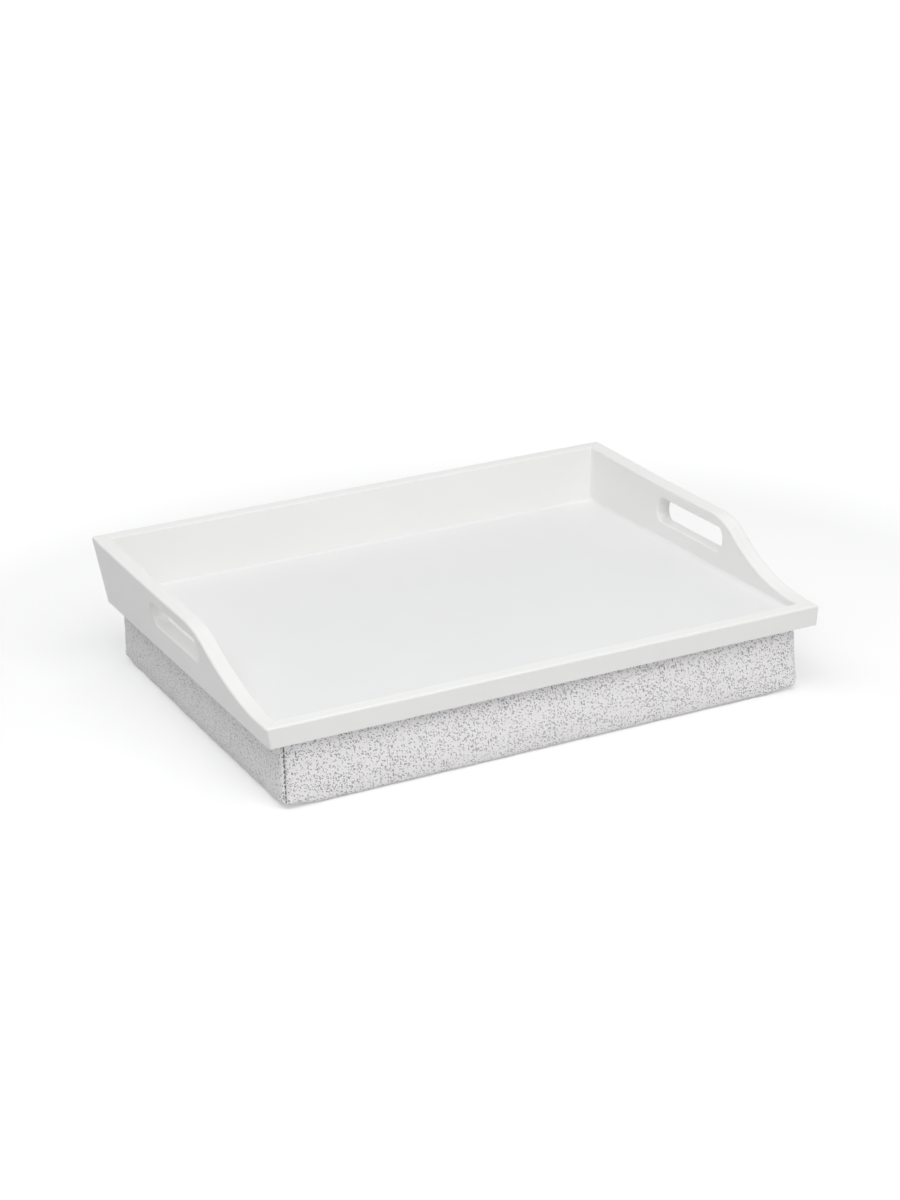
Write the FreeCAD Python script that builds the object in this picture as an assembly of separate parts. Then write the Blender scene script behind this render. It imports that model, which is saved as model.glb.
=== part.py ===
import FreeCAD, Part
import math
import os
from FreeCAD import Placement, Rotation, Vector

# A lap tray: a painted wooden tray with two slotted handle walls, standing on a boxy fabric cushion.
# Millimetres, +Z up, +X across the tray and +Y towards its high back wall. The origin is on the surface
# that the cushion stands on, under the middle of the tray's outline.

# Overall sizes
overall_width = 444.5
overall_depth = 342.9
overall_height = 104.1

# Cushion, set back from the tray's outline
cushion_height = 51.2
cushion_side_setback = 16.75
cushion_front_setback = 8.5
cushion_back_setback = 3.0
cushion_top_draw_in = 1.5
cushion_side_bow = 1.6
cushion_foot_radius = 10.0
cushion_top_radius = 3.0
cushion_corner_radius = 6.0
cover_thickness = 1.2
bag_thickness = 0.6
layer_gap = 0.1
seam_from_edge = 5.0
thread_diameter = 0.8
thread_showing = 0.5
thread_gap = 0.05
foot_round_shares = (0.0, 0.2, 0.4, 0.6, 0.8, 1.0)
side_height_shares = (0.25, 0.5, 0.75)
top_round_shares = (0.0, 0.35, 0.7, 1.0)

# Walls of the tray
tray_clearance = 0.3
board_thickness = 12.0
flare_degrees = 7.0
front_wall_height = 15.0
side_top_sweep = 3.4
shoulder_from_front = 140.5
level_front_run = 16.0
wave_convex_share = 0.28
edge_radius = 1.5
outer_corner_radius = 2.5
inner_corner_radius = 1.6

# Hand slots: the bar of wood over a slot, and the slot's share of the height between the bar and the floor
slot_length = 98.0
slot_behind_shoulder = 29.0
slot_edge_radius = 1.5
grip_bar_height = 9.6
slot_height_share = 0.59
slot_end_radius_share = 0.43

# Base panel, with its tongue let into a groove of the walls
panel_thickness = 5.0
panel_fit_gap = 0.1
tongue_thickness = 3.0
tongue_length = 5.0
tongue_slack = 0.5

# Hook-and-loop patches between the tray and the cushion
patch_length = 60.0
patch_width = 25.0
patch_corner_radius = 3.0
patch_side_margin = 6.0
patch_end_margin = 22.0
hook_thickness = 1.7
loop_thickness = 1.5
patch_gap = 0.3

# Brads that pin the mitred corners; the last of each corner's brads runs in from the front or the back
brad_diameter = 1.2
brad_length = 25.0
brad_sink = 1.5
brad_hole_gap = 0.03
back_brad_rise_shares = (0.2, 0.85, 0.52)
front_brad_rise_shares = (0.65, 0.28)

# How far a cutting shape runs past what it cuts, and how closely an edge is matched to its place
overrun = 5.0
match_tolerance = 0.02

# The corners in the order of wall_corners: the side (1 is right, -1 is left) and whether it is at the back
corners = {
    "front_left": (-1, False),
    "front_right": (1, False),
    "back_right": (1, True),
    "back_left": (-1, True),
}

# Heights that follow from the sizes above
tray_foot_z = cushion_height + tray_clearance
front_top_z = tray_foot_z + front_wall_height
shoulder_z = overall_height - side_top_sweep
panel_foot_z = cushion_height + loop_thickness + patch_gap + hook_thickness
floor_z = panel_foot_z + panel_thickness
tongue_foot_z = panel_foot_z + (panel_thickness - tongue_thickness) / 2
tongue_top_z = tongue_foot_z + tongue_thickness

# The flare of the side walls and the back wall. Their sharp outline stands out a little, so that the
# rounded one has the overall size.
flare = math.radians(flare_degrees)
rounding_loss = edge_radius * (math.tan(flare) + 1 / math.cos(flare) - 1)
sharp_half_width = overall_width / 2 + rounding_loss
sharp_back_y = overall_depth / 2 + rounding_loss
front_y = -overall_depth / 2
shoulder_y = front_y + shoulder_from_front

# The hand slots' height follows from the handles' height, and their ends are at most half round
slot_top_z = shoulder_z - grip_bar_height
slot_height = (slot_top_z - floor_z) * slot_height_share
slot_end_radius = min(slot_height * slot_end_radius_share, slot_height / 2 - match_tolerance)

up = Vector(0, 0, 1)
half_right_angle = math.radians(45)
corner_share = 1 - math.cos(half_right_angle)


def wire_of(points):
    """A closed wire of straight edges."""
    return Part.makePolygon(points + points[:1])


def solid_between(wires):
    """A solid with straight sides between closed wires."""
    return Part.makeLoft(wires, True, True)


def rising_edges(shape):
    """The edges that run more up than along."""
    return [e for e in shape.Edges if abs(e.tangentAt(e.FirstParameter).dot(up)) > math.cos(half_right_angle)]


def wall_corners(z, inward):
    """The corners at height z of the ring of faces that lie this far inside the walls' outer faces."""
    lean = (overall_height - z) * math.tan(flare)
    half_x = sharp_half_width - lean - inward / math.cos(flare)
    back = sharp_back_y - lean - inward / math.cos(flare)
    front = front_y + inward
    places = ((-half_x, front), (half_x, front), (half_x, back), (-half_x, back))
    return [Vector(x, y, z) for x, y in places]


def wall_funnel(low_z, high_z, inward):
    """The space inside that ring of faces, from one height to another."""
    return solid_between([wire_of(wall_corners(z, inward)) for z in (low_z, high_z)])


def above_the_walls():
    """Everything over the walls' top edge: a slow sweep down to the shoulder, then a wave to the front."""
    sweep_run = sharp_back_y - shoulder_y
    sweep_radius = (sweep_run ** 2 + side_top_sweep ** 2) / (2 * side_top_sweep)
    sweep_end = sweep_run + overrun
    wave_run = shoulder_from_front - level_front_run
    turn = 2 * math.atan((shoulder_z - front_top_z) / wave_run)
    convex_radius = wave_run / math.sin(turn) * wave_convex_share
    concave_radius = wave_run / math.sin(turn) - convex_radius
    wave_end_y = shoulder_y - wave_run

    def on_sweep(run):
        rise = sweep_radius - math.sqrt(sweep_radius ** 2 - run ** 2)
        return Vector(0, shoulder_y + run, shoulder_z + rise)

    def on_convex(angle):
        drop = convex_radius * (1 - math.cos(angle))
        return Vector(0, shoulder_y - convex_radius * math.sin(angle), shoulder_z - drop)

    def on_concave(angle):
        rise = concave_radius * (1 - math.cos(angle))
        return Vector(0, wave_end_y + concave_radius * math.sin(angle), front_top_z + rise)

    high_z = overall_height + 3 * overrun
    front_end = Vector(0, front_y - overrun, front_top_z)
    front_high = Vector(0, front_end.y, high_z)
    back_high = Vector(0, on_sweep(sweep_end).y, high_z)
    edges = [
        Part.Arc(on_sweep(sweep_end), on_sweep(sweep_end / 2), on_sweep(0)).toShape(),
        Part.Arc(on_sweep(0), on_convex(turn / 2), on_convex(turn)).toShape(),
        Part.Arc(on_convex(turn), on_concave(turn / 2), on_concave(0)).toShape(),
        Part.LineSegment(on_concave(0), front_end).toShape(),
        Part.LineSegment(front_end, front_high).toShape(),
        Part.LineSegment(front_high, back_high).toShape(),
        Part.LineSegment(back_high, on_sweep(sweep_end)).toShape(),
    ]
    half_span = sharp_half_width + overrun
    profile = Part.Face(Part.Wire(edges))
    profile.translate(Vector(-half_span, 0, 0))
    return profile.extrude(Vector(2 * half_span, 0, 0))


def corner_edges(shape, inward):
    """The four rising edges where the wall faces at this depth meet."""
    low = wall_corners(tray_foot_z, inward)
    high = wall_corners(overall_height, inward)
    lines = [Part.makeLine(a, b) for a, b in zip(low, high)]

    def lies_on(edge, line):
        return all(line.distToShape(Part.Vertex(v.Point))[0] < match_tolerance for v in edge.Vertexes)

    return [e for e in shape.Edges if any(lies_on(e, line) for line in lines)]


def faces_up(face):
    """Whether a face is part of the walls' top edge."""
    u0, u1, v0, v1 = face.ParameterRange
    return face.normalAt((u0 + u1) / 2, (v0 + v1) / 2).dot(up) > math.cos(half_right_angle)


def wall_ring():
    """The four walls in one, with rounded corners and a rounded top edge."""
    ring = wall_funnel(tray_foot_z, overall_height + 2 * overrun, 0)
    ring = ring.cut(wall_funnel(tray_foot_z - overrun, overall_height + 3 * overrun, board_thickness))
    ring = ring.cut(above_the_walls())
    ring = ring.makeFillet(outer_corner_radius, corner_edges(ring, 0))
    ring = ring.makeFillet(inner_corner_radius, corner_edges(ring, board_thickness))
    tops = [f for f in ring.Faces if faces_up(f)]
    rims = [e for f in tops for e in f.Edges if sum(any(e.isSame(x) for x in g.Edges) for g in tops) == 1]
    return ring.makeFillet(edge_radius, rims)


def wall_region(first, last):
    """The space of one wall, between the mitres at two of the ring's corners."""
    reach = 2 * overrun
    wires = []
    for z in (tray_foot_z - overrun, overall_height + overrun):
        outside = wall_corners(z, -reach)
        inside = wall_corners(z, board_thickness + reach)
        wires.append(wire_of([outside[first], inside[first], inside[last], outside[last]]))
    return solid_between(wires)


def tongue_box(length):
    """A flat box at the tongue's height that reaches this far into the walls from their inner faces."""
    low, high = wall_corners((tongue_foot_z + tongue_top_z) / 2, board_thickness)[::2]
    size_x = high.x - low.x + 2 * length
    size_y = high.y - low.y + 2 * length
    start = Vector(low.x - length, low.y - length, tongue_foot_z)
    return Part.makeBox(size_x, size_y, tongue_thickness, start)


def base_panel():
    """The floor board, bevelled to the walls' flare, with its tongue."""
    outlines = [wire_of(wall_corners(z, board_thickness + panel_fit_gap)) for z in (panel_foot_z, floor_z)]
    plate = solid_between(outlines)
    plate = plate.makeFillet(inner_corner_radius, rising_edges(plate))
    return plate.fuse(tongue_box(tongue_length)).removeSplitter()


def with_hand_slot(wall, side):
    """A handle wall with its round-ended slot, cut square to the board, and the slot's softened edges."""
    z = slot_top_z - slot_height / 2
    x = wall_corners(z, board_thickness / 2)[1].x
    middle = Vector(side * x, shoulder_y + slot_behind_shoulder, z)
    place = Placement(middle, Rotation(Vector(0, 1, 0), side * flare_degrees))
    depth = board_thickness + 2 * overrun
    slot = Part.makeBox(depth, slot_length, slot_height)
    slot.translate(Vector(-depth / 2, -slot_length / 2, -slot_height / 2))
    slot = slot.makeFillet(slot_end_radius, [e for e in slot.Edges if e.BoundBox.XLength > board_thickness])
    slot.Placement = place
    wall = wall.cut(slot)
    into_slot_frame = place.inverse()
    rims = []
    for edge in wall.Edges:
        at = into_slot_frame.multVec(edge.valueAt((edge.FirstParameter + edge.LastParameter) / 2))
        on_a_face = abs(abs(at.x) - board_thickness / 2) < match_tolerance
        within_length = abs(at.y) < slot_length / 2 + match_tolerance
        within_height = abs(at.z) < slot_height / 2 + match_tolerance
        if on_a_face and within_length and within_height:
            rims.append(edge)
    return wall.makeFillet(slot_edge_radius, rims)


def corner_brads(corner, gap=0):
    """The sunk nails of one mitred corner, or with a gap, their holes."""
    side, at_back = list(corners.values())[corner]
    inward = -1 if at_back else 1
    top_z = overall_height if at_back else front_top_z
    nails = []
    shares = back_brad_rise_shares if at_back else front_brad_rise_shares
    for share in shares:
        z = tongue_top_z + (top_z - tongue_top_z) * share
        outer = wall_corners(z, 0)[corner]
        middle = wall_corners(z, board_thickness / 2)[corner]
        if share == shares[-1]:
            start, direction = Vector(middle.x, outer.y + inward * brad_sink, z), Vector(0, inward, 0)
        else:
            start, direction = Vector(outer.x - side * brad_sink, middle.y, z), Vector(-side, 0, 0)
        nails.append(Part.makeCylinder(brad_diameter / 2 + gap, brad_length + gap, start, direction))
    return Part.makeCompound(nails)


def tray_parts():
    """The four walls, the base panel and the nails."""
    ring = wall_ring().cut(tongue_box(tongue_length + tongue_slack))
    for corner in range(len(corners)):
        ring = ring.cut(corner_brads(corner, brad_hole_gap))
    parts = {
        "base_panel": base_panel(),
        "front_wall": ring.common(wall_region(0, 1)),
        "right_handle_wall": with_hand_slot(ring.common(wall_region(1, 2)), 1),
        "back_wall": ring.common(wall_region(2, 3)),
        "left_handle_wall": with_hand_slot(ring.common(wall_region(3, 0)), -1),
    }
    for corner, name in enumerate(corners):
        parts["brads_" + name] = corner_brads(corner)
    return parts


def cushion_sides(z, pull):
    """Half the cushion's width, its front and its back at height z, pulled in from its fullest form."""
    rise_share = max(z - cushion_foot_radius, 0) / (cushion_height - cushion_foot_radius)
    pull = pull + cushion_top_draw_in * rise_share
    return (
        overall_width / 2 - cushion_side_setback - pull,
        front_y + cushion_front_setback + pull,
        -front_y - cushion_back_setback - pull,
    )


def cushion_outline(z, inset, skin):
    """The cushion's outline at height z, this far in from its side, inside a skin of fabric."""
    x, front, back = cushion_sides(z, inset + skin)
    height_share = z / cushion_height
    bow = cushion_side_bow * 4 * height_share * (1 - height_share)
    radius = cushion_corner_radius - skin
    cut_in = radius * corner_share
    middle = (front + back) / 2
    path = [
        ((-x + radius, front), (0, front - bow)),
        ((x - radius, front), (x - cut_in, front + cut_in)),
        ((x, front + radius), (x + bow, middle)),
        ((x, back - radius), (x - cut_in, back - cut_in)),
        ((x - radius, back), (0, back + bow)),
        ((-x + radius, back), (-x + cut_in, back - cut_in)),
        ((-x, back - radius), (-x - bow, middle)),
        ((-x, front + radius), (-x + cut_in, front + cut_in)),
    ]
    edges = []
    for (start, through), (end, after) in zip(path, path[1:] + path[:1]):
        a, b, c = (Vector(*point, z) for point in (start, through, end))
        straight = (b - a).cross(c - a).Length < match_tolerance ** 2
        edges.append((Part.LineSegment(a, c) if straight else Part.Arc(a, b, c)).toShape())
    return Part.Wire(edges)


def cushion_form(skin):
    """The cushion's form inside a skin of fabric: a flat foot, swelling sides and rounded rims."""
    foot_radius = cushion_foot_radius - skin
    top_radius = max(cushion_top_radius - skin, layer_gap)
    side_top_z = cushion_height - skin - top_radius
    levels = []
    for share in foot_round_shares:
        turn = math.radians(90 * share)
        levels.append((skin + foot_radius * (1 - math.cos(turn)), foot_radius * (1 - math.sin(turn))))
    for share in side_height_shares:
        levels.append((cushion_foot_radius + (side_top_z - cushion_foot_radius) * share, 0))
    for share in top_round_shares:
        turn = math.radians(90 * share)
        levels.append((side_top_z + top_radius * math.sin(turn), top_radius * (1 - math.cos(turn))))
    return solid_between([cushion_outline(z, inset, skin) for z, inset in levels])


def top_layer(inset, low_z, high_z):
    """A flat layer with the outline of the cushion's top, drawn in this far."""
    face = Part.Face(cushion_outline(cushion_height, inset, 0))
    face.translate(up * (low_z - cushion_height))
    return face.extrude(up * (high_z - low_z))


def corner_thread(side, at_back, gap=0):
    """The thread along one upright corner seam of the cover, or with a gap, its groove."""
    sunk = thread_diameter / 2 - thread_showing
    depth = cushion_corner_radius * corner_share + sunk * math.cos(half_right_angle)
    ends = []
    for z in (cushion_foot_radius, cushion_height - cushion_top_radius):
        x, front, back = cushion_sides(z, depth)
        ends.append(Vector(side * x, back if at_back else front, z))
    along = ends[1] - ends[0]
    return Part.makeCylinder(thread_diameter / 2 + gap, along.Length, ends[0], along)


def cushion_parts():
    """The cover with its seams, the liner and the fill."""
    panel_z = cushion_height - cover_thickness
    seam_inside = seam_from_edge + thread_diameter
    cover = cushion_form(0).cut(cushion_form(cover_thickness))
    cover = cover.cut(top_layer(seam_from_edge - thread_gap, panel_z - layer_gap, cushion_height + overrun))
    bag_skin = cover_thickness + layer_gap
    fill_skin = bag_skin + bag_thickness + layer_gap
    parts = {
        "cushion_top_panel": top_layer(seam_inside + thread_gap, panel_z, cushion_height),
        "inner_bag": cushion_form(bag_skin).cut(cushion_form(bag_skin + bag_thickness)),
        "cushion_fill": cushion_form(fill_skin),
    }
    seam = top_layer(seam_from_edge, panel_z, cushion_height)
    parts["seam_thread_top"] = seam.cut(top_layer(seam_inside, panel_z - overrun, cushion_height + overrun))
    for name, (side, at_back) in corners.items():
        cover = cover.cut(corner_thread(side, at_back, thread_gap))
        parts["seam_thread_" + name] = corner_thread(side, at_back)
    parts["cushion_cover"] = cover
    return parts


def patch_parts():
    """The four pairs of hook and loop patches, between the panel's underside and the cushion's top."""
    under = wall_corners(panel_foot_z, board_thickness)
    half_x, front, back = cushion_sides(cushion_height, seam_from_edge)
    reach_x = min(under[1].x, half_x) - patch_side_margin - patch_length
    front_reach = max(under[0].y, front) + patch_end_margin
    back_reach = min(under[2].y, back) - patch_end_margin - patch_width
    parts = {}
    layers = (
        ("hook_patch_", panel_foot_z - hook_thickness, hook_thickness),
        ("loop_patch_", cushion_height, loop_thickness),
    )
    for name, (side, at_back) in corners.items():
        x = reach_x if side > 0 else -reach_x - patch_length
        y = back_reach if at_back else front_reach
        for kind, low_z, thickness in layers:
            tape = Part.makeBox(patch_length, patch_width, thickness, Vector(x, y, low_z))
            parts[kind + name] = tape.makeFillet(patch_corner_radius, rising_edges(tape))
    return parts


os.makedirs("parts", exist_ok=True)
for node, shape in {**tray_parts(), **cushion_parts(), **patch_parts()}.items():
    print(f"{node}: {len(shape.Solids)} solid(s), valid {shape.isValid()}, volume {shape.Volume:.0f}")
    shape.exportStep(f"parts/{node}.step")
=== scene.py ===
import bpy
import math
import numpy as np
from mathutils import Matrix, Vector


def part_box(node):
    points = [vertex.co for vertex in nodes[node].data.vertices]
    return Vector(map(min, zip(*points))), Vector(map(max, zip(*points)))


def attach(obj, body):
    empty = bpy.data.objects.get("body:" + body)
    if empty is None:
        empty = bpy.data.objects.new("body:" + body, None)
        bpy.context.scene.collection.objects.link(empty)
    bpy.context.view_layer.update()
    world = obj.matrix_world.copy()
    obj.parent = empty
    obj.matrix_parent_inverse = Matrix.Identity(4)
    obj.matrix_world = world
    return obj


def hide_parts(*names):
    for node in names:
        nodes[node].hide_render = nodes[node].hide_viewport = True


# A painted lap tray on a padded fabric cushion, in metres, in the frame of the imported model.

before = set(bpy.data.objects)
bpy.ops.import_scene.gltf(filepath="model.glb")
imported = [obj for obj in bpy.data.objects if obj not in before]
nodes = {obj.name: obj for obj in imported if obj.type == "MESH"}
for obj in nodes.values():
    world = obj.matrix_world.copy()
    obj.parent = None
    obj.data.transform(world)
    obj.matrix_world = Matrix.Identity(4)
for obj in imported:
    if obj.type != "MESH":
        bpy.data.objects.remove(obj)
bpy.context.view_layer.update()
mm = 0.001

# Camera, fitted to the photograph's 900 x 1200 frame
camera_azimuth = math.radians(-24.712)
camera_elevation = math.radians(20.327)
camera_roll = math.radians(-2.797)
camera_distance = 1959.868 * mm
camera_aim = (0.329 * mm, 7.96 * mm, 52.05 * mm)
focal_pixels = 2596.206
frame_pixels = 1200
sensor_size = 36

# Studio. The lamps are softboxes that face the origin, on the floor under the middle of the tray. Each has
# its place, size, energy and colour.
fill_strength = 0.18
fill_colour = (0.96, 0.98, 1.0)
lamps = {
    "front": ((0.0, -1.3, 1.6), 1.6, 21.0, (1.0, 1.0, 0.995)),
    "top_left": ((-0.8, -0.2, 1.9), 1.4, 11.0, (1.0, 1.0, 0.995)),
    "right": ((1.5, -1.3, 0.9), 1.4, 4.0, (1.0, 0.997, 0.99)),
    "left": ((-1.4, -1.4, 0.7), 1.2, 3.0, (0.95, 0.975, 1.0)),
    "back_right": ((0.9, 0.9, 1.6), 0.9, 3.0, (1.0, 1.0, 1.0)),
    "back_left": ((-0.8, 1.5, 1.2), 1.2, 5.0, (1.0, 1.0, 1.0)),
}

# Floor. Its glow rises from floor_glow_near to 1 between the two radii round the origin.
floor_size = 60.0
floor_colour = (0.68, 0.68, 0.68)
floor_glow_near = 0.4
floor_glow_radii = (0.45, 1.1)

# Tray. The rounded rim takes outline_rounding off each side that leans.
flare = math.radians(7)
board_thickness = 12 * mm
floor_z = 59.7 * mm
top_z = 104.1 * mm
outline_rounding = 0.1955 * mm

# Paint: its two tones on the walls and on the floor panel, the lines over the mitres, which lie beyond
# mitre_reach on both sides, and the bead round the floor, which runs into the boards by cove_sink
wall_white = ((0.9, 0.897, 0.885), (0.918, 0.915, 0.904))
panel_white = ((0.845, 0.845, 0.845), (0.862, 0.862, 0.862))
grain_stretch = 0.05
mitre_line_width = 0.25 * mm
mitre_line_depth = 0.1 * mm
mitre_line_shade = 0.3
mitre_line_colour = (0.4, 0.39, 0.37, 1)
mitre_reach = 198 * mm
cove_size = 2.8 * mm
cove_sink = 0.06 * mm
cove_steps = 6
cove_corner_radius = 1.6 * mm
cove_corner_steps = 5
cove_sharp_angle = math.radians(50)

# Weave: a twill at a turn to the cushion's edges, whose yarns each run over yarn_span others and under as
# many. The wobble is in yarns. In the noise of the flecks the yarns lie fleck_yarns_apart from each other,
# and the warp and the weft each at a depth of their own.
weave_light = (1.0, 0.974, 0.985)
weave_middle = (0.93, 0.9, 0.916)
weave_dark = (0.04, 0.034, 0.05)
yarn_pitch = 0.68 * mm
yarn_turn = math.radians(42)
yarn_span = 2
yarn_wobble = 0.7
yarn_wobble_scale = 0.8
fleck_scale = 0.55
fleck_yarns_apart = 7.31
warp_flecks_at = 3.7
weft_flecks_at = 11.9

# Shares of the weave's tone and height
fleck_share = 0.5
warp_lift = 0.1
blotch_share = 0.25
fuzz_share = 0.4
# Each yarn's tone rises as its roundness falls, towards its edges and the ends of its floats: painted shading
# across the yarn.
yarn_roundness_painted_shading_share = 0.45
fuzz_height = 0.5

# Threads, light and dark. The seam thread is dark, so that its close stitches also paint the shade in the
# bottom of the seams' grooves.
seam_thread_and_groove_shade_tones = ((0.2, 0.2, 0.22), (0.1, 0.1, 0.115))
patch_thread_tones = ((0.8, 0.8, 0.8), (0.55, 0.55, 0.56))

# Cushion form. The weave's u runs in true length round measured_ring.
foot_radius = 3.5 * mm
top_radius = 3 * mm
corner_radius = 6 * mm
top_draw_in = 1.5 * mm
side_bow = 1.6 * mm
bow_beyond_foot = 1.16 * mm
cell = 6 * mm
foot_rows = 6
side_rows = 8
top_rows = 3
arc_cells = 3
measured_ring = foot_rows + 2
top_seam_inset = 5.4 * mm
top_ring_insets = tuple(i * mm for i in (4.1, 4.8, 5.4, 6.0, 6.7, 9.0))

# Padding: the cloth simulation, how firmly it holds the corner seams, and how much of its swell is kept
cloth_frames = 20
cloth_quality = 8
cloth_mass = 0.25
cloth_stretch_stiffness = 15
cloth_shear_stiffness = 5
cloth_bending_stiffness = 0.5
cloth_pressure = 4
cloth_growth = 0.006
held_top_margin = 0.1 * mm
corner_hold = 0.95
puff_limit = 1.8 * mm
puff_percentile = 98
smallest_shift = 1e-9

# Corner seams: the groove and its wander, the puckers beside it, and the lift of the cushion's foot
seam_depth = 1.7 * mm
seam_width = 0.8 * mm
seam_reach_sideways = 12 * mm
seam_reach_inward = 10 * mm
seam_wander = 0.35 * mm
seam_wander_length = 14 * mm
seam_fade_height = 4 * mm
seam_foot_margin = 0.5 * mm
wave_shares = (0.6, 1.0, 1.7)
pucker_height = 0.45 * mm
pucker_distance = 3.6 * mm
pucker_spread = 1.9 * mm
pucker_length = 8.5 * mm
pucker_shift = pucker_length / 3
pucker_unevenness = 0.8
pucker_seed = 7
corner_lift = 3 * mm
corner_lift_reach = 13 * mm
corner_lift_height = 20 * mm

# Top seam
top_seam_depth = 0.9 * mm
top_seam_width = 0.8 * mm
top_flat_margin = 0.6 * mm

# Stitches. A stitch's arch and the thickness of its ends are shares of its radius, and its dip is a share of
# its arch. A corner's line of stitches keeps clear of the foot and the top.
stitch_length = 3.2 * mm
stitch_gap = 0.3 * mm
stitch_radius = 0.45 * mm
stitch_sink = 0.3 * mm
stitch_rings = 6
stitch_sides = 6
stitch_dip_share = 0.6
stitch_arch_share = 1.4
stitch_end_share = 0.35
stitch_line_above_foot = 0.2 * foot_radius
stitch_line_below_top = 0.5 * top_radius
stitch_line_points = 60

# Loop patches: the pile and the line of stitches inside the edge
patch_corner_radius = 3 * mm
pile_cell = 0.6 * mm
pile_edge_drop = 0.45 * mm
pile_drop_limit = 0.35 * mm
patch_seam_inset = 2 * mm
patch_stitch_length = 2.2 * mm
patch_stitch_gap = 0.8 * mm
patch_stitch_radius = 0.2 * mm


def shader(name):
    """A new material, its principled shader, and functions that add a node and link it to the shader."""
    material = bpy.data.materials.new(name)
    material.use_nodes = True
    tree = material.node_tree
    principled = tree.nodes["Principled BSDF"]

    def add(kind, inputs=(), **settings):
        node = tree.nodes.new("ShaderNode" + kind)
        for key, value in settings.items():
            setattr(node, key, value)
        for key, value in dict(inputs).items():
            if isinstance(value, bpy.types.NodeSocket):
                tree.links.new(value, node.inputs[key])
            else:
                node.inputs[key].default_value = value
        return node

    def link(socket, target):
        tree.links.new(socket, principled.inputs[target])

    return material, principled, add, link


def calc(add, operation, a, b=0.0, c=0.0):
    """The result of one math node."""
    return add("Math", {0: a, 1: b, 2: c}, operation=operation).outputs[0]


def ramp(add, factor, stops):
    """A colour ramp through (position, grey or colour) stops."""
    node = add("ValToRGB", {"Fac": factor})
    elements = node.color_ramp.elements
    while len(elements) < len(stops):
        elements.new(1.0)
    for element, (position, colour) in zip(elements, stops):
        element.position = position
        element.color = (*colour, 1) if isinstance(colour, tuple) else (colour, colour, colour, 1)
    return node.outputs["Color"]


def noise(add, place, scale, detail, roughness=0.5, stretch=None):
    """Noise, with its grain drawn out along the axes that have a small stretch."""
    if stretch is not None:
        place = add("Mapping", {"Vector": place, "Scale": stretch}).outputs[0]
    node = add("TexNoise", {"Vector": place, "Scale": scale, "Detail": detail, "Roughness": roughness})
    return node.outputs["Fac"]


def bump(add, height, strength, distance, normal=None):
    """A bump node's normal."""
    inputs = {"Height": height, "Strength": strength, "Distance": distance}
    if normal is not None:
        inputs["Normal"] = normal
    return add("Bump", inputs).outputs["Normal"]


def mitre_distance(add, place):
    """The distance to the nearer mitre plane, with a metre more between the corners, where no mitre is."""
    split = add("SeparateXYZ", {0: place})
    across = calc(add, "ABSOLUTE", split.outputs["X"])
    folded = add("CombineXYZ", {"X": across, "Y": split.outputs["Y"], "Z": split.outputs["Z"]}).outputs[0]
    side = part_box("right_handle_wall")[1].x
    back_normal = Vector((1, -1, 0))
    back_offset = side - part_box("back_wall")[1].y
    front_normal = Vector((1, 1 / math.cos(flare), -math.tan(flare)))
    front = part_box("front_wall")[0].y
    front_offset = side + outline_rounding - top_z * math.tan(flare) + front / math.cos(flare)
    nearest = None
    for normal, offset in ((back_normal, back_offset), (front_normal, front_offset)):
        unit = normal.normalized()
        along = add("VectorMath", {0: folded, 1: unit}, operation="DOT_PRODUCT").outputs["Value"]
        distance = calc(add, "ABSOLUTE", calc(add, "SUBTRACT", along, offset / normal.length))
        nearest = distance if nearest is None else calc(add, "MINIMUM", nearest, distance)
    return calc(add, "ADD", nearest, calc(add, "LESS_THAN", across, mitre_reach))


def painted_wood(name, grain_axis, mitred, low, high):
    """Satin paint, clouded between two tones, over a board whose grain runs along one axis."""
    material, principled, add, link = shader(name)
    place = add("TexCoord").outputs["Object"]
    stretch = tuple(grain_stretch if axis == grain_axis else 1.0 for axis in "XYZ")
    grain = noise(add, place, scale=460, detail=4.0, roughness=0.6, stretch=stretch)
    peel = noise(add, place, scale=520, detail=2.0)
    cloud = noise(add, place, scale=9, detail=3.0)
    handling = noise(add, place, scale=30, detail=5.0, roughness=0.65)
    tone = ramp(add, cloud, [(0.3, low), (0.7, high)])
    mean_height = calc(add, "MULTIPLY", calc(add, "ADD", grain, peel), 0.5)
    normal = bump(add, mean_height, strength=0.3, distance=0.05 * mm)
    if mitred:
        distance = mitre_distance(add, place)
        reach = {"Value": distance, "From Max": mitre_line_width, "To Min": 1.0, "To Max": 0.0}
        line = add("MapRange", reach).outputs["Result"]
        shade = calc(add, "MULTIPLY", line, mitre_line_shade)
        mix = add("Mix", {"Factor": shade, "A": tone, "B": mitre_line_colour}, data_type="RGBA")
        tone = mix.outputs[2]
        height = calc(add, "SUBTRACT", 1.0, line)
        normal = bump(add, height, strength=0.4, distance=mitre_line_depth, normal=normal)
    link(tone, "Base Color")
    link(ramp(add, handling, [(0.35, 0.3), (0.7, 0.4)]), "Roughness")
    link(normal, "Normal")
    principled.inputs["Specular IOR Level"].default_value = 0.32
    principled.inputs["Coat Weight"].default_value = 0.1
    principled.inputs["Coat Roughness"].default_value = 0.2
    return material


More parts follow.
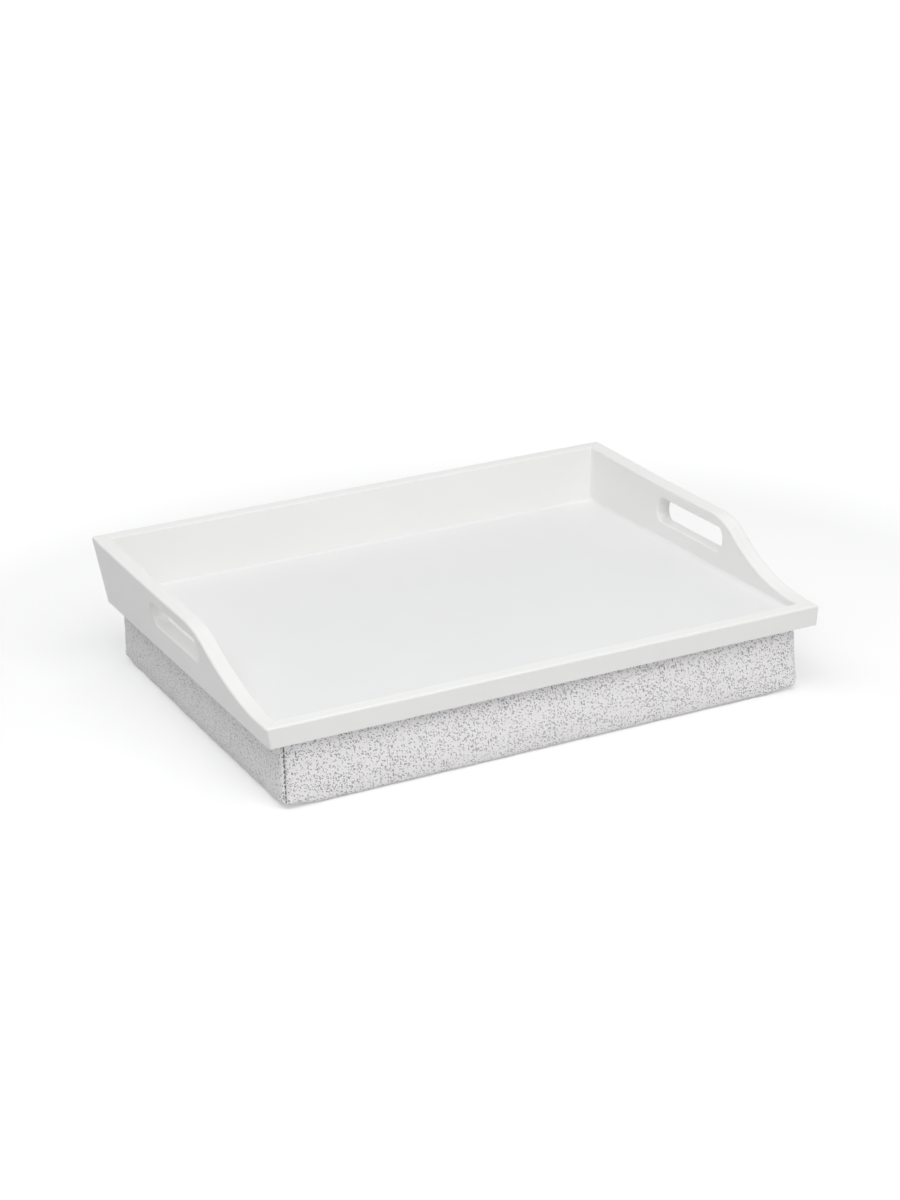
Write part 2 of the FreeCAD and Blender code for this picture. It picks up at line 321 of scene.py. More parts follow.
def heathered_weave(name, light, middle, dark):
    """A twill of light and grey yarns, drawn by the weave UV map, which is in metres."""
    material, principled, add, link = shader(name)
    uv = add("UVMap", uv_map="weave").outputs["UV"]
    scale = (1 / yarn_pitch,) * 3
    turned = add("Mapping", {"Vector": uv, "Rotation": (0, 0, yarn_turn), "Scale": scale}).outputs[0]
    wobble = add("TexNoise", {"Vector": turned, "Scale": yarn_wobble_scale, "Detail": 1.0}).outputs["Color"]
    sway = (yarn_wobble, yarn_wobble, 0)
    wobbled = add("VectorMath", {0: wobble, 1: sway, 2: turned}, operation="MULTIPLY_ADD").outputs[0]
    split = add("SeparateXYZ", {0: wobbled})
    across, along = split.outputs["X"], split.outputs["Y"]
    column = calc(add, "FLOOR", across)
    row = calc(add, "FLOOR", along)
    diagonal = calc(add, "ADD", column, row)
    repeat = 2 * yarn_span
    warp_on_top = calc(add, "LESS_THAN", calc(add, "FLOORED_MODULO", diagonal, repeat), yarn_span - 0.5)

    def shown(warp, weft):
        """The value of the yarn that lies on top."""
        return add("Mix", {"Factor": warp_on_top, "A": weft, "B": warp}, data_type="FLOAT").outputs[0]

    def arch(share):
        """A half round from 0 to 1 and back."""
        return calc(add, "SINE", calc(add, "MULTIPLY", share, math.pi))

    def centred(value):
        """A value from 0 to 1, moved to lie round 0."""
        return calc(add, "SUBTRACT", value, 0.5)

    def flecks(index, run, shift):
        """Tones that last for a few crossings along one yarn and change from yarn to yarn."""
        apart = calc(add, "MULTIPLY", index, fleck_yarns_apart)
        place = add("CombineXYZ", {0: apart, 1: run, 2: shift}).outputs[0]
        return noise(add, place, fleck_scale, detail=2.0, roughness=0.7)

    over_yarn = shown(calc(add, "FRACT", across), calc(add, "FRACT", along))
    along_yarn = shown(calc(add, "FRACT", along), calc(add, "FRACT", across))
    along_float = calc(add, "ADD", along_yarn, calc(add, "FLOORED_MODULO", diagonal, yarn_span))
    length_arch = calc(add, "SQRT", arch(calc(add, "MULTIPLY", along_float, 1 / yarn_span)))
    roundness = calc(add, "MULTIPLY", arch(over_yarn), length_arch)
    float_number = calc(add, "FLOOR", calc(add, "MULTIPLY", diagonal, 1 / repeat))
    place = add("CombineXYZ", {0: shown(column, row), 1: float_number, 2: warp_on_top}).outputs[0]
    tone = add("TexWhiteNoise", {"Vector": place}, noise_dimensions="3D").outputs["Value"]
    run = shown(flecks(column, along, warp_flecks_at), flecks(row, across, weft_flecks_at))
    blotch = noise(add, uv, scale=55, detail=2.0)
    fuzz = noise(add, uv, scale=3000, detail=2.0)
    # The last share paints shading across each yarn: it lightens the tone away from the yarn's crown.
    for value, share in (
        (centred(run), fleck_share),
        (warp_on_top, warp_lift),
        (centred(blotch), blotch_share),
        (centred(fuzz), fuzz_share),
        (calc(add, "SUBTRACT", 1.0, roundness), yarn_roundness_painted_shading_share),
    ):
        tone = calc(add, "MULTIPLY_ADD", value, share, tone)
    link(ramp(add, tone, [(0.38, dark), (0.43, middle), (0.54, light)]), "Base Color")
    height = calc(add, "MULTIPLY_ADD", fuzz, fuzz_height, roundness)
    link(bump(add, height, strength=0.28, distance=0.3 * mm), "Normal")
    link(ramp(add, fuzz, [(0.3, 0.82), (0.7, 0.96)]), "Roughness")
    principled.inputs["Specular IOR Level"].default_value = 0.2
    principled.inputs["Sheen Weight"].default_value = 1.0
    principled.inputs["Sheen Roughness"].default_value = 0.8
    return material


def twisted_thread(name, light, dark):
    """Twisted sewing thread."""
    material, principled, add, link = shader(name)
    place = add("TexCoord").outputs["Object"]
    inputs = {"Vector": place, "Scale": 700.0, "Distortion": 1.5}
    twist = add("TexWave", inputs, bands_direction="DIAGONAL").outputs["Fac"]
    link(ramp(add, twist, [(0.2, dark), (0.8, light)]), "Base Color")
    link(bump(add, twist, strength=0.5, distance=0.1 * mm), "Normal")
    principled.inputs["Roughness"].default_value = 0.75
    return material


def brushed_loops(name):
    """The brushed nylon pile of a loop tape."""
    material, principled, add, link = shader(name)
    place = add("TexCoord").outputs["Object"]
    speck = noise(add, place, scale=1300, detail=4.0, roughness=0.7)
    link(ramp(add, speck, [(0.35, 0.6), (0.65, 0.86)]), "Base Color")
    strands = add("TexVoronoi", {"Vector": place, "Scale": 1100.0}, feature="F1").outputs["Distance"]
    height = calc(add, "ADD", strands, speck)
    link(bump(add, height, strength=0.8, distance=0.4 * mm), "Normal")
    link(ramp(add, speck, [(0.3, 0.7), (0.7, 0.95)]), "Roughness")
    principled.inputs["Sheen Weight"].default_value = 0.3
    return material


def moulded_hooks(name):
    """A stiff nylon tape with hooks."""
    material, principled, add, link = shader(name)
    place = add("TexCoord").outputs["Object"]
    speck = noise(add, place, scale=900, detail=3.0)
    link(ramp(add, speck, [(0.3, 0.72), (0.7, 0.86)]), "Base Color")
    link(bump(add, speck, strength=0.4, distance=0.2 * mm), "Normal")
    link(ramp(add, speck, [(0.3, 0.32), (0.7, 0.5)]), "Roughness")
    return material


def bright_wire(name):
    """Drawn steel wire."""
    material, principled, add, link = shader(name)
    place = add("TexCoord").outputs["Object"]
    scratches = noise(add, place, scale=2500, detail=4.0, roughness=0.6, stretch=(1.0, 0.05, 1.0))
    link(ramp(add, scratches, [(0.3, 0.5), (0.7, 0.66)]), "Base Color")
    link(ramp(add, scratches, [(0.3, 0.25), (0.7, 0.45)]), "Roughness")
    principled.inputs["Metallic"].default_value = 1.0
    return material


def dress(node, material):
    """Gives a CAD node one material."""
    data = nodes[node].data
    data.materials.clear()
    data.materials.append(material)


def new_piece(name, vertices, faces, material, body):
    """A smooth mesh piece with one material, riding on a body."""
    data = bpy.data.meshes.new(name)
    data.from_pydata([tuple(v) for v in vertices], [], faces)
    data.polygons.foreach_set("use_smooth", np.ones(len(faces), dtype=bool))
    data.materials.append(material)
    piece = bpy.data.objects.new(name, data)
    bpy.context.scene.collection.objects.link(piece)
    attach(piece, body)
    return piece


def ring_faces(count, start, following):
    """Quads between two rings of vertices."""
    faces = []
    for i in range(count):
        after = (i + 1) % count
        faces.append((start + i, start + after, following + after, following + i))
    return faces


def corner_point(half_x, front, back, radius, number, share):
    """A point of a rounded rectangle's corner. Number 0 is the front left, and share runs along the arc."""
    corners = ((-half_x, front, 1, 1), (half_x, front, -1, 1), (half_x, back, -1, -1), (-half_x, back, 1, -1))
    corner_x, corner_y, inward_x, inward_y = corners[number % 4]
    angle = math.pi + (number + share) * math.pi / 2
    return (
        corner_x + inward_x * radius + radius * math.cos(angle),
        corner_y + inward_y * radius + radius * math.sin(angle),
    )


# Tray: the paint's soft fillet between the floor and the walls

def inner_outline(inset, height, radius):
    """The outline of the walls' inner faces at this height over the floor, drawn in and rounded."""
    z = floor_z + height
    lean = (top_z - z) * math.tan(flare) + board_thickness / math.cos(flare)
    half_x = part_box("right_handle_wall")[1].x + outline_rounding - lean - inset
    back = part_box("back_wall")[1].y + outline_rounding - lean - inset
    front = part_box("front_wall")[0].y + board_thickness + inset
    points = []
    for number in range(4):
        for step in range(cove_corner_steps + 1):
            x, y = corner_point(half_x, front, back, radius, number, step / cove_corner_steps)
            points.append((x, y, z))
    return points


def paint_cove(material):
    """A small concave bead of paint all round the tray's floor."""
    profile = [(-cove_sink, cove_size)]
    for step in range(cove_steps + 1):
        turn = math.pi / 2 * step / cove_steps
        profile.append((cove_size * (1 - math.cos(turn)), cove_size * (1 - math.sin(turn))))
    profile += [(cove_size, -cove_sink), (-cove_sink, -cove_sink)]
    vertices, faces = [], []
    for inset, height in profile:
        vertices += inner_outline(inset, height, cove_corner_radius + max(inset, 0))
    count = len(vertices) // len(profile)
    for row in range(len(profile)):
        faces += ring_faces(count, row * count, (row + 1) % len(profile) * count)
    piece = new_piece("paint_cove", vertices, faces, material, "tray")
    piece.data.set_sharp_from_angle(angle=cove_sharp_angle)


# Cushion

def arched(peak, share):
    """The height of a parabola that rises to its peak and falls back as the share goes from 0 to 1."""
    return peak * 4 * share * (1 - share)


class CushionForm:
    """The cushion's outline at each height, from the box of the CAD cover."""

    def __init__(self):
        low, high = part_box("cushion_cover")
        self.half_x = high.x - bow_beyond_foot
        self.front = low.y + bow_beyond_foot
        self.back = high.y - bow_beyond_foot
        self.height = high.z
        self.middle = np.array([0.0, (self.front + self.back) / 2])

    def levels(self):
        """(height, inset) of each ring, from the foot up and in over the top."""
        side_top = self.height - top_radius
        rows = []
        for i in range(foot_rows + 1):
            turn = math.pi / 2 * i / foot_rows
            rows.append((foot_radius * (1 - math.cos(turn)), foot_radius * (1 - math.sin(turn))))
        for i in range(1, side_rows):
            rows.append((foot_radius + (side_top - foot_radius) * i / side_rows, 0.0))
        for i in range(top_rows + 1):
            turn = math.pi / 2 * i / top_rows
            rows.append((side_top + top_radius * math.sin(turn), top_radius * (1 - math.cos(turn))))
        return rows + [(self.height, inset) for inset in top_ring_insets]

    def ring(self, z, inset):
        """The points of the four sides at one height, each side from one corner seam to the next."""
        rise = max(z - foot_radius, 0) / (self.height - foot_radius)
        pull = inset + top_draw_in * rise
        bow = arched(side_bow, z / self.height)
        x, front, back = self.half_x - pull, self.front + pull, self.back - pull
        counts = (round(2 * self.half_x / cell), round((self.back - self.front) / cell))
        outward = ((0, -1), (1, 0), (0, 1), (-1, 0))

        def on_arc(number, share):
            """A point of one rounded corner."""
            return np.array(corner_point(x, front, back, corner_radius, number, share))

        sides = []
        for side in range(4):
            points = [on_arc(side, 0.5 + 0.5 * i / arc_cells) for i in range(arc_cells)]
            first, last = on_arc(side, 1.0), on_arc(side + 1, 0.0)
            for i in range(counts[side % 2] + 1):
                share = i / counts[side % 2]
                straight = first + (last - first) * share
                points.append(straight + arched(bow, share) * np.array(outward[side]))
            points += [on_arc(side + 1, 0.5 * i / arc_cells) for i in range(1, arc_cells + 1)]
            sides.append(np.array([(*p, z) for p in points]))
        return sides


def side_band(form):
    """The vertices, quads and weave UVs of all the rings, and each side's number of cells."""
    levels = form.levels()
    rings = [form.ring(z, inset) for z, inset in levels]
    spans = [len(side) - 1 for side in rings[0]]
    around = sum(spans)
    vertices = np.vstack([side[:-1] for ring in rings for side in ring])
    heights = [0.0]
    for (z0, i0), (z1, i1) in zip(levels, levels[1:]):
        heights.append(heights[-1] + math.hypot(z1 - z0, i1 - i0))
    measured = np.vstack([side[:-1] for side in rings[measured_ring]])
    steps = np.linalg.norm(np.roll(measured, -1, axis=0) - measured, axis=1)
    lengths = [0.0, *np.cumsum(steps)]
    faces, uvs = [], []
    for row in range(len(rings) - 1):
        faces += ring_faces(around, row * around, (row + 1) * around)
        for i in range(around):
            u0, u1, v0, v1 = lengths[i], lengths[i + 1], heights[row], heights[row + 1]
            uvs.append(((u0, v0), (u1, v0), (u1, v1), (u0, v1)))
    return vertices, faces, uvs, spans


def corner_starts(spans):
    """Where each corner seam's vertex stands in a ring."""
    return [sum(spans[:side]) for side in range(4)]


def add_cap(vertices, faces, uvs, spans, base, upward):
    """Fills the ring of vertices that starts at base with a grid of quads."""
    across, along = spans[0], spans[1]
    around = sum(spans)
    grid = np.zeros((across + 1, along + 1), dtype=int)
    for i in range(across + 1):
        grid[i, 0] = base + i
        grid[i, along] = base + across + along + across - i
    for j in range(along + 1):
        grid[across, j] = base + across + j
        grid[0, j] = base + (around - j) % around
    front, back = vertices[grid[:, 0]], vertices[grid[:, along]]
    left, right = vertices[grid[0, :]], vertices[grid[across, :]]
    us = (front[:, 0] - front[0, 0]) / (front[-1, 0] - front[0, 0])
    vs = (right[:, 1] - right[0, 1]) / (right[-1, 1] - right[0, 1])
    added = []
    for i in range(1, across):
        for j in range(1, along):
            u, v = us[i], vs[j]
            ends = (1 - v) * ((1 - u) * front[0] + u * front[-1]) + v * ((1 - u) * back[0] + u * back[-1])
            added.append((1 - v) * front[i] + v * back[i] + (1 - u) * left[j] + u * right[j] - ends)
            grid[i, j] = len(vertices) + len(added) - 1
    vertices = np.vstack([vertices, added])
    for i in range(across):
        for j in range(along):
            quad = [grid[i, j], grid[i + 1, j], grid[i + 1, j + 1], grid[i, j + 1]]
            quad = [int(k) for k in (quad if upward else quad[::-1])]
            faces.append(tuple(quad))
            uvs.append(tuple((vertices[k][0], vertices[k][1]) for k in quad))
    return vertices


def simulated(vertices, faces, hold):
    """The vertices after a short cloth simulation under inner pressure."""
    data = bpy.data.meshes.new("inflate")
    data.from_pydata([tuple(v) for v in vertices], [], faces)
    scratch = bpy.data.objects.new("inflate", data)
    scene = bpy.context.scene
    scene.collection.objects.link(scratch)
    group = scratch.vertex_groups.new(name="hold")
    for index, weight in hold.items():
        group.add([index], weight, "REPLACE")
    cloth = scratch.modifiers.new("cloth", "CLOTH")
    cloth.point_cache.frame_end = cloth_frames
    settings = cloth.settings
    settings.quality = cloth_quality
    settings.mass = cloth_mass
    settings.tension_stiffness = cloth_stretch_stiffness
    settings.compression_stiffness = cloth_stretch_stiffness
    settings.shear_stiffness = cloth_shear_stiffness
    settings.bending_stiffness = cloth_bending_stiffness
    settings.use_pressure = True
    settings.uniform_pressure_force = cloth_pressure
    settings.shrink_min = -cloth_growth
    settings.vertex_group_mass = "hold"
    settings.effector_weights.gravity = 0
    for number in range(1, cloth_frames + 1):
        scene.frame_set(number)
    evaluated = scratch.evaluated_get(bpy.context.evaluated_depsgraph_get())
    moved = np.array([tuple(v.co) for v in evaluated.data.vertices])
    scene.frame_set(1)
    bpy.data.objects.remove(scratch)
    return moved


def padded(form, vertices, faces, spans):
    around = sum(spans)
    corners = corner_starts(spans)
    hold = {}
    for index, point in enumerate(vertices):
        if point[2] > form.height - held_top_margin or index < around:
            hold[index] = 1.0
        elif index % around in corners:
            hold[index] = corner_hold
    shift = simulated(vertices, faces, hold) - vertices
    amount = np.linalg.norm(shift, axis=1)
    shift *= min(1.0, puff_limit / max(np.percentile(amount, puff_percentile), smallest_shift))
    amount = np.maximum(np.linalg.norm(shift, axis=1), smallest_shift)
    shift *= (puff_limit * np.tanh(amount / puff_limit) / amount)[:, None]
    swollen = vertices + shift
    swollen[:, 2] = np.clip(swollen[:, 2], 0.0, form.height)
    return swollen


def unevenness(along, seed, length):
    """A smooth uneven wave along a seam, from -1 to 1."""
    random = np.random.default_rng(seed)
    total = np.zeros_like(along)
    for share in wave_shares:
        phase = random.uniform(0, 2 * math.pi)
        total += np.sin(2 * math.pi * along / (length * share) + phase) / len(wave_shares)
    return total


def seam_directions(form, seam):
    """The directions straight out from a corner seam and level across it."""
    outward = np.sign(seam[0][:2] - form.middle) / math.sqrt(2)
    return outward, np.array([-outward[1], outward[0]])


def sew_corner(form, points, seam, seed):
    """Draws the fabric in along one corner seam, puckers it on both sides and lifts the foot under it."""
    outward, sideways = seam_directions(form, seam)
    heights = seam[:, 2]
    order = np.argsort(heights, kind="stable")
    above_foot = points[:, 2] > seam_foot_margin
    line_x = np.interp(points[:, 2], heights[order], seam[order, 0])
    line_y = np.interp(points[:, 2], heights[order], seam[order, 1])
    offset = points[:, :2] - np.stack([line_x, line_y], axis=1)
    wander = seam_wander * unevenness(points[:, 2], seed, seam_wander_length)
    sideway = offset @ sideways - wander
    outside = offset @ outward
    near = above_foot & (np.abs(sideway) < seam_reach_sideways) & (outside > -seam_reach_inward)
    groove = seam_depth * np.exp(-(sideway / seam_width) ** 2)
    swell = pucker_height * np.exp(-((np.abs(sideway) - pucker_distance) / pucker_spread) ** 2)
    wave = unevenness(points[:, 2] + np.sign(sideway) * pucker_shift, seed + pucker_seed, pucker_length)
    swell *= 1 + pucker_unevenness * wave
    fade = np.clip(points[:, 2] / seam_fade_height, 0, 1)
    change = (swell - groove) * fade * near
    points[:, 0] += outward[0] * change
    points[:, 1] += outward[1] * change
    points[:, 2] += lift_at(points, seam)
    return points


def lift_at(points, seam):
    """How far the pull of a corner seam lifts the cushion's foot at these points."""
    away = np.hypot(points[:, 0] - seam[0][0], points[:, 1] - seam[0][1])
    share = np.clip(1 - points[:, 2] / corner_lift_height, 0, 1)
    return corner_lift * np.exp(-(away / corner_lift_reach) ** 2) * share


def sew_top(form, points):
    """Draws the fabric down along the seam of the top panel."""
    flat = points[:, 2] > form.height - top_flat_margin
    half_x = form.half_x - top_draw_in
    half_y = (form.back - form.front) / 2 - top_draw_in
    inset_x = half_x - np.abs(points[:, 0])
    inset_y = half_y - np.abs(points[:, 1] - form.middle[1])
    straight = np.minimum(inset_x, inset_y)
    reach = corner_radius + top_seam_inset
    corner = (inset_x < reach) & (inset_y < reach)
    from_centre = np.hypot(np.maximum(reach - inset_x, 0), np.maximum(reach - inset_y, 0))
    inset = np.where(corner, reach - from_centre, straight)
    distance = inset - top_seam_inset
    points[:, 2] -= flat * top_seam_depth * np.exp(-(distance / top_seam_width) ** 2)
    return points


def cushion(material):
    """Makes the padded cushion with its sewn corners and top. Returns its form and its corner seams."""
    form = CushionForm()
    vertices, faces, uvs, spans = side_band(form)
    around = sum(spans)
    rows = len(vertices) // around
    vertices = padded(form, vertices, faces, spans)
    vertices = add_cap(vertices, faces, uvs, spans, 0, False)
    vertices = add_cap(vertices, faces, uvs, spans, (rows - 1) * around, True)
    data = bpy.data.meshes.new("coarse")
    data.from_pydata([tuple(v) for v in vertices], [], faces)
    layer = data.uv_layers.new(name="weave")
    layer.data.foreach_set("uv", np.array(uvs).reshape(-1))
    scratch = bpy.data.objects.new("coarse", data)
    bpy.context.scene.collection.objects.link(scratch)
    scratch.modifiers.new("smooth", "SUBSURF").levels = 1
    evaluated = scratch.evaluated_get(bpy.context.evaluated_depsgraph_get())
    fine = bpy.data.meshes.new_from_object(evaluated)
    bpy.data.objects.remove(scratch)
    points = np.array([tuple(v.co) for v in fine.vertices])
    seam_rows = range(rows - len(top_ring_insets))
    seams = [vertices[[row * around + start for row in seam_rows]] for start in corner_starts(spans)]
    for number, seam in enumerate(seams):
        points = sew_corner(form, points, seam, number)
    points = sew_top(form, points)
    points[:, 2] = np.clip(points[:, 2], 0.0, form.height)
    fine.vertices.foreach_set("co", points.reshape(-1))
    fine.polygons.foreach_set("use_smooth", np.ones(len(fine.polygons), dtype=bool))
    fine.name = "cushion_cloth"
    fine.materials.clear()
    fine.materials.append(material)
    piece = bpy.data.objects.new("cushion_cloth", fine)
    bpy.context.scene.collection.objects.link(piece)
    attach(piece, "cushion")
    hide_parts("cushion_cover", "cushion_top_panel", "inner_bag", "cushion_fill")
    return form, seams


def add_stitch(vertices, faces, start, end, outward, radius):
    """One stitch: a short thread that dips in at both ends."""
    start, end, outward = Vector(start), Vector(end), Vector(outward).normalized()
    along = (end - start).normalized()
    sideways = along.cross(outward)
    base = len(vertices)
    for step in range(stitch_rings + 1):
        share = step / stitch_rings
        arch = math.sin(math.pi * share)
        centre = start.lerp(end, share) + outward * (arch - stitch_dip_share) * radius * stitch_arch_share
        size = radius * (stitch_end_share + (1 - stitch_end_share) * math.sqrt(arch))
        for turn in range(stitch_sides):
            angle = 2 * math.pi * turn / stitch_sides
            vertices.append(centre + (sideways * math.cos(angle) + outward * math.sin(angle)) * size)
    for step in range(stitch_rings):
        low = base + step * stitch_sides
        faces += ring_faces(stitch_sides, low, low + stitch_sides)
    faces.append(tuple(base + turn for turn in reversed(range(stitch_sides))))
    last = base + stitch_rings * stitch_sides
    faces.append(tuple(last + turn for turn in range(stitch_sides)))


def stitches_along(path, outwards, closed, length=stitch_length, gap=stitch_gap, radius=stitch_radius):
    """Stitches at even steps along a path of points."""
    vertices, faces = [], []
    points = np.array([tuple(p) for p in path] + ([tuple(path[0])] if closed else []))
    outwards = np.array([tuple(o) for o in outwards] + ([tuple(outwards[0])] if closed else []))
    lengths = np.concatenate([[0.0], np.cumsum(np.linalg.norm(np.diff(points, axis=0), axis=1))])
    count = int(lengths[-1] / (length + gap))
    pace = lengths[-1] / count

    def at(distance, table):
        """The table's value at this distance along the path."""
        return [float(np.interp(distance, lengths, table[:, k])) for k in range(3)]

    for number in range(count):
        start = number * pace + gap / 2
        end = start + pace - gap
        outward = at((start + end) / 2, outwards)
        add_stitch(vertices, faces, at(start, points), at(end, points), outward, radius)
    return vertices, faces


def corner_stitches(form, seam, name, seed, material):
    """The thread of one corner seam, in the bottom of its groove. Its dark tones also paint the groove's
    shade.
    """
    outward, sideways = seam_directions(form, seam)
    low, high = stitch_line_above_foot, form.height - stitch_line_below_top
    table = np.array([point for point in seam if low < point[2] < high])
    heights = np.linspace(table[0, 2], table[-1, 2], stitch_line_points)
    x = np.interp(heights, table[:, 2], table[:, 0])
    y = np.interp(heights, table[:, 2], table[:, 1])
    wander = seam_wander * unevenness(heights, seed, seam_wander_length)
    sunk = seam_depth - stitch_sink
    x += sideways[0] * wander - outward[0] * sunk
    y += sideways[1] * wander - outward[1] * sunk
    line = np.stack([x, y, heights], axis=1)
    line[:, 2] += lift_at(line, seam)
    vertices, faces = stitches_along(line, [(*outward, 0.0)] * len(line), False)
    piece = new_piece("stitches_" + name, vertices, faces, material, "cushion")
    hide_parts("seam_thread_" + name)


def top_stitches(form, material):
    """The thread of the top panel's seam, all the way round. Its dark tones also paint the seam's shade."""
    ring = form.ring(form.height, top_seam_inset)
    line = np.vstack([side[:-1] for side in ring])
    line[:, 2] -= top_seam_depth - stitch_sink
    vertices, faces = stitches_along(line, [(0.0, 0.0, 1.0)] * len(line), True)
    piece = new_piece("stitches_top", vertices, faces, material, "cushion")
    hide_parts("seam_thread_top")


def loop_pile(node, material, seed):
    """A loop patch: a rounded tape whose pile is a fine uneven surface."""
    low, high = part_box(node)
    random = np.random.default_rng(seed)
    counts = (round((high.x - low.x) / pile_cell), round((high.y - low.y) / pile_cell))
    radius = patch_corner_radius
    grid = {}
    vertices, faces = [], []

    def pressed_in(x, y):
        """Moves a point of the rectangle inside the rounded outline."""
        centre_x = min(max(x, low.x + radius), high.x - radius)
        centre_y = min(max(y, low.y + radius), high.y - radius)
        dx, dy = x - centre_x, y - centre_y
        if dx and dy:
            longest = max(abs(dx), abs(dy))
            scale = longest / math.hypot(dx, dy)
            return centre_x + dx * scale, centre_y + dy * scale
        return x, y

    for i in range(counts[0] + 1):
        for j in range(counts[1] + 1):
            x = low.x + (high.x - low.x) * i / counts[0]
            y = low.y + (high.y - low.y) * j / counts[1]
            rim = min(i, j, counts[0] - i, counts[1] - j)
            x, y = pressed_in(x, y)
            drop = pile_edge_drop if rim == 0 else random.uniform(0.0, pile_drop_limit)
            grid[i, j] = len(vertices)
            vertices.append((x, y, high.z - drop))
    border = [(i, 0) for i in range(counts[0])] + [(counts[0], j) for j in range(counts[1])]
    border += [(i, counts[1]) for i in range(counts[0], 0, -1)] + [(0, j) for j in range(counts[1], 0, -1)]
    for i in range(counts[0]):
        for j in range(counts[1]):
            faces.append((grid[i, j], grid[i + 1, j], grid[i + 1, j + 1], grid[i, j + 1]))
    foot = len(vertices)
    for place in border:
        x, y = vertices[grid[place]][:2]
        vertices.append((x, y, low.z))
    for k in range(len(border)):
        a, b = border[k], border[(k + 1) % len(border)]
        faces.append((grid[b], grid[a], foot + k, foot + (k + 1) % len(border)))
    faces.append(tuple(foot + k for k in reversed(range(len(border)))))
    piece = new_piece(node.replace("patch", "pile"), vertices, faces, material, "cushion")
    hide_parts(node)


def patch_stitches(corner, material):
    """The line of thread that sews a loop patch to the cushion, just inside the patch's edge."""
    low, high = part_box("loop_patch_" + corner)
    x0, x1 = low.x + patch_seam_inset, high.x - patch_seam_inset
    y0, y1 = low.y + patch_seam_inset, high.y - patch_seam_inset
    z = high.z - patch_stitch_radius
    path = [(x0, y0, z), (x1, y0, z), (x1, y1, z), (x0, y1, z)]
    vertices, faces = stitches_along(
        path, [(0.0, 0.0, 1.0)] * len(path), True, patch_stitch_length, patch_stitch_gap, patch_stitch_radius,
    )
    new_piece("patch_stitches_" + corner, vertices, faces, material, "cushion")


# Studio

def looked_at(tree):
    """1 for the rays of the camera, of reflections and of clear materials, and 0 for the rest."""
    rays = tree.nodes.new("ShaderNodeLightPath")
    looked = rays.outputs["Is Camera Ray"]
    for kind in ("Is Glossy Ray", "Is Transmission Ray"):
        either = tree.nodes.new("ShaderNodeMath")
        either.operation = "MAXIMUM"
        tree.links.new(looked, either.inputs[0])
        tree.links.new(rays.outputs[kind], either.inputs[1])
        looked = either.outputs[0]
    return looked


def studio():
    """White surroundings for the camera and for reflections, a soft fill and the softboxes."""
    world = bpy.data.worlds.new("studio")
    bpy.context.scene.world = world
    world.use_nodes = True
    tree = world.node_tree
    fill = tree.nodes["Background"]
    fill.inputs["Color"].default_value = (*fill_colour, 1)
    fill.inputs["Strength"].default_value = fill_strength
    white = tree.nodes.new("ShaderNodeBackground")
    white.inputs["Color"].default_value = (1, 1, 1, 1)
    mix = tree.nodes.new("ShaderNodeMixShader")
    tree.links.new(looked_at(tree), mix.inputs[0])
    tree.links.new(fill.outputs[0], mix.inputs[1])
    tree.links.new(white.outputs[0], mix.inputs[2])
    tree.links.new(mix.outputs[0], tree.nodes["World Output"].inputs["Surface"])

    for name, (place, size, energy, colour) in lamps.items():
        data = bpy.data.lights.new(name, "AREA")
        data.size = size
        data.energy = energy
        data.color = colour
        lamp = bpy.data.objects.new(name, data)
        lamp.location = place
        lamp.rotation_mode = "QUATERNION"
        lamp.rotation_quaternion = Vector(place).to_track_quat("Z", "Y")
        bpy.context.scene.collection.objects.link(lamp)


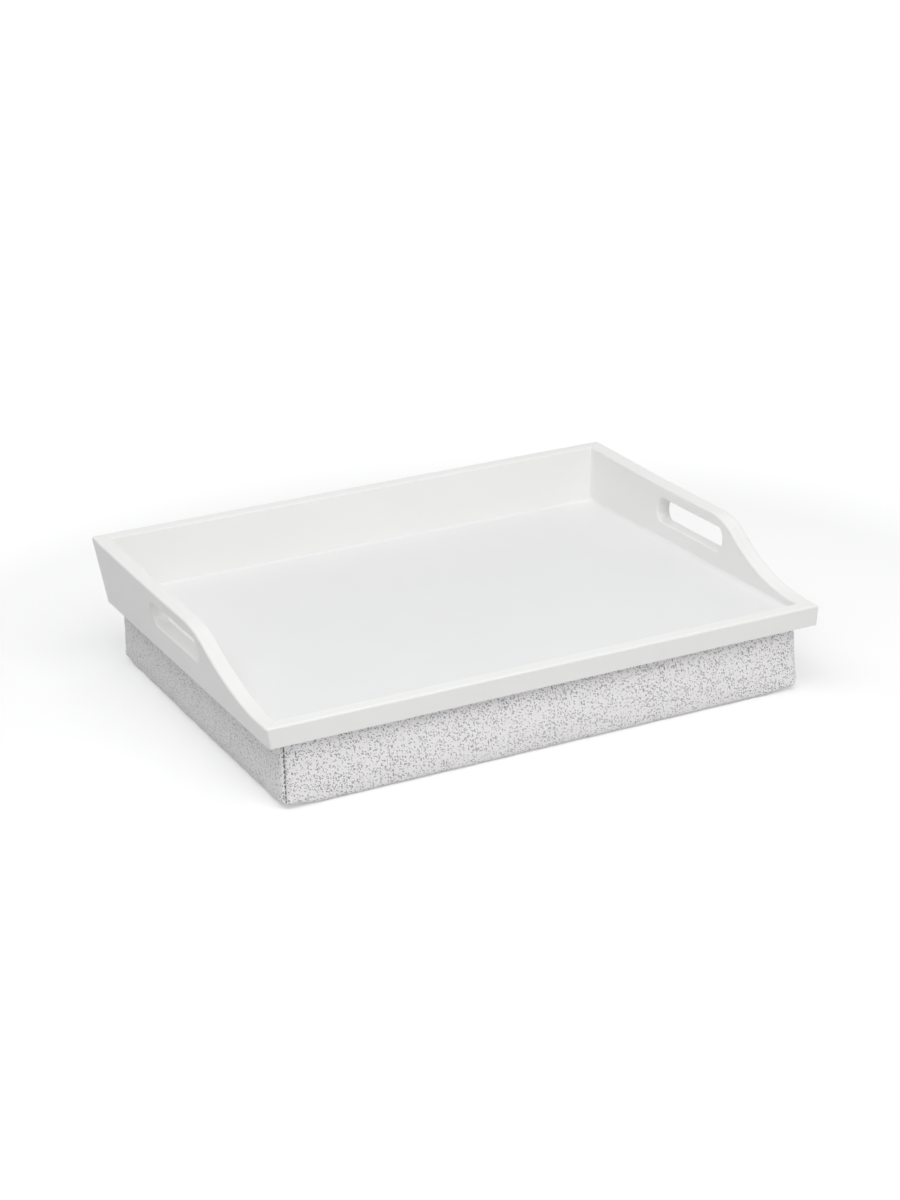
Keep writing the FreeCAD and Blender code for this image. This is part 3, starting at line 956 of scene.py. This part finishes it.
def floor():
    """A pale floor that keeps the object's shadow and turns to white further off."""
    half = floor_size / 2
    corners = [(-half, -half, 0), (half, -half, 0), (half, half, 0), (-half, half, 0)]
    data = bpy.data.meshes.new("floor")
    data.from_pydata(corners, [], [(0, 1, 2, 3)])
    material, principled, add, link = shader("floor")
    principled.inputs["Base Color"].default_value = (*floor_colour, 1)
    principled.inputs["Roughness"].default_value = 0.9
    principled.inputs["Specular IOR Level"].default_value = 0.0
    place = add("TexCoord").outputs["Object"]
    distance = add("VectorMath", {0: place}, operation="LENGTH").outputs["Value"]
    near, far = floor_glow_radii
    radii = {"Value": distance, "From Min": near, "From Max": far, "To Min": floor_glow_near, "To Max": 1.0}
    glow = add("MapRange", radii).outputs["Result"]
    principled.inputs["Emission Color"].default_value = (1, 1, 1, 1)
    link(calc(add, "MULTIPLY", looked_at(material.node_tree), glow), "Emission Strength")
    data.materials.append(material)
    piece = bpy.data.objects.new("floor", data)
    bpy.context.scene.collection.objects.link(piece)


def photo_camera():
    """The camera, which sees the object from where the photograph shows it."""
    level = math.cos(camera_elevation)
    back = Vector((
        math.sin(camera_azimuth) * level,
        -math.cos(camera_azimuth) * level,
        math.sin(camera_elevation),
    ))
    right = Vector((0, 0, 1)).cross(back).normalized()
    up = back.cross(right)
    target = right * camera_aim[0] + up * camera_aim[1] + Vector((0, 0, camera_aim[2]))
    turned_right = right * math.cos(camera_roll) + up * math.sin(camera_roll)
    turned_up = up * math.cos(camera_roll) - right * math.sin(camera_roll)
    data = bpy.data.cameras.new("camera")
    data.sensor_width = sensor_size
    data.lens = focal_pixels / frame_pixels * sensor_size
    camera = bpy.data.objects.new("camera", data)
    turn = Matrix((turned_right, turned_up, back)).transposed().to_4x4()
    camera.matrix_world = Matrix.Translation(target + back * camera_distance) @ turn
    bpy.context.scene.collection.objects.link(camera)
    bpy.context.scene.camera = camera


along_x = painted_wood("paint_along_x", "X", True, *wall_white)
along_y = painted_wood("paint_along_y", "Y", True, *wall_white)
panel = painted_wood("paint_panel", "X", False, *panel_white)
dress("front_wall", along_x)
dress("back_wall", along_x)
dress("left_handle_wall", along_y)
dress("right_handle_wall", along_y)
dress("base_panel", panel)
paint_cove(panel)

weave = heathered_weave("heathered_weave", weave_light, weave_middle, weave_dark)
# The dark seam thread, in the corner seams and the top seam, stands for the thread and also for the painted
# shade of the seams' grooves.
thread = twisted_thread("thread", *seam_thread_and_groove_shade_tones)
pale_thread = twisted_thread("pale_thread", *patch_thread_tones)
wire = bright_wire("bright_wire")
hooks = moulded_hooks("moulded_hooks")
loops = brushed_loops("brushed_loops")
form, seams = cushion(weave)
top_stitches(form, thread)
for number, corner in enumerate(("front_left", "front_right", "back_right", "back_left")):
    corner_stitches(form, seams[number], corner, number, thread)
    loop_pile("loop_patch_" + corner, loops, number)
    patch_stitches(corner, pale_thread)
    dress("hook_patch_" + corner, hooks)
    dress("brads_" + corner, wire)

studio()
floor()
photo_camera()
bpy.context.scene.view_settings.view_transform = "Standard"
